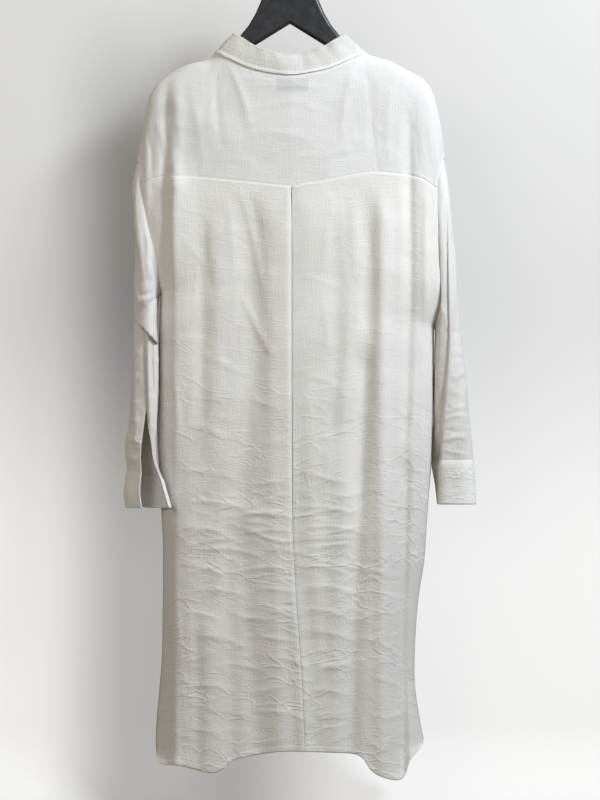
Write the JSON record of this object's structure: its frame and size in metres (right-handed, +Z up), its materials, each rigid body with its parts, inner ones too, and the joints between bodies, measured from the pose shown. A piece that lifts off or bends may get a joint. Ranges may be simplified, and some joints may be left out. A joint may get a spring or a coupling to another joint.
{
  "type": "shirt dress on a hanger",
  "caption": "Long-sleeved linen shirt dress with a band collar, back yoke and inverted back pleat, hanging on a flat hanger by its hook.",
  "frame": {"origin": "inner top of the hanger's hook, where a rail carries it", "axes": "+Z up; the wearer faces +Y, so the back of the dress faces -Y; the wearer's right side is +X"},
  "size_m": [0.5289, 0.1242, 1.2675],
  "materials": {
    "linen": "undyed off-white linen with slubs and soft creases",
    "label_tape": "plain woven tape",
    "button": "pale shell-like plastic",
    "hanger_board": "black, satin",
    "hanger_hook": "bright steel wire"
  },
  "bodies": {
    "root": {"back": "linen", "front_left": "linen", "front_right": "linen", "yoke": "linen", "collar": "linen", "sleeve_left": "linen", "sleeve_right": "linen", "cuff_left": "linen", "cuff_right": "linen", "neck_label": "label_tape", "button_1": "button", "button_2": "button", "button_3": "button", "button_4": "button", "button_5": "button", "button_6": "button", "button_7": "button", "button_8": "button", "button_open": "button", "hanger_board": "hanger_board", "hanger_hook": "hanger_hook"}
  },
  "joints": []
}
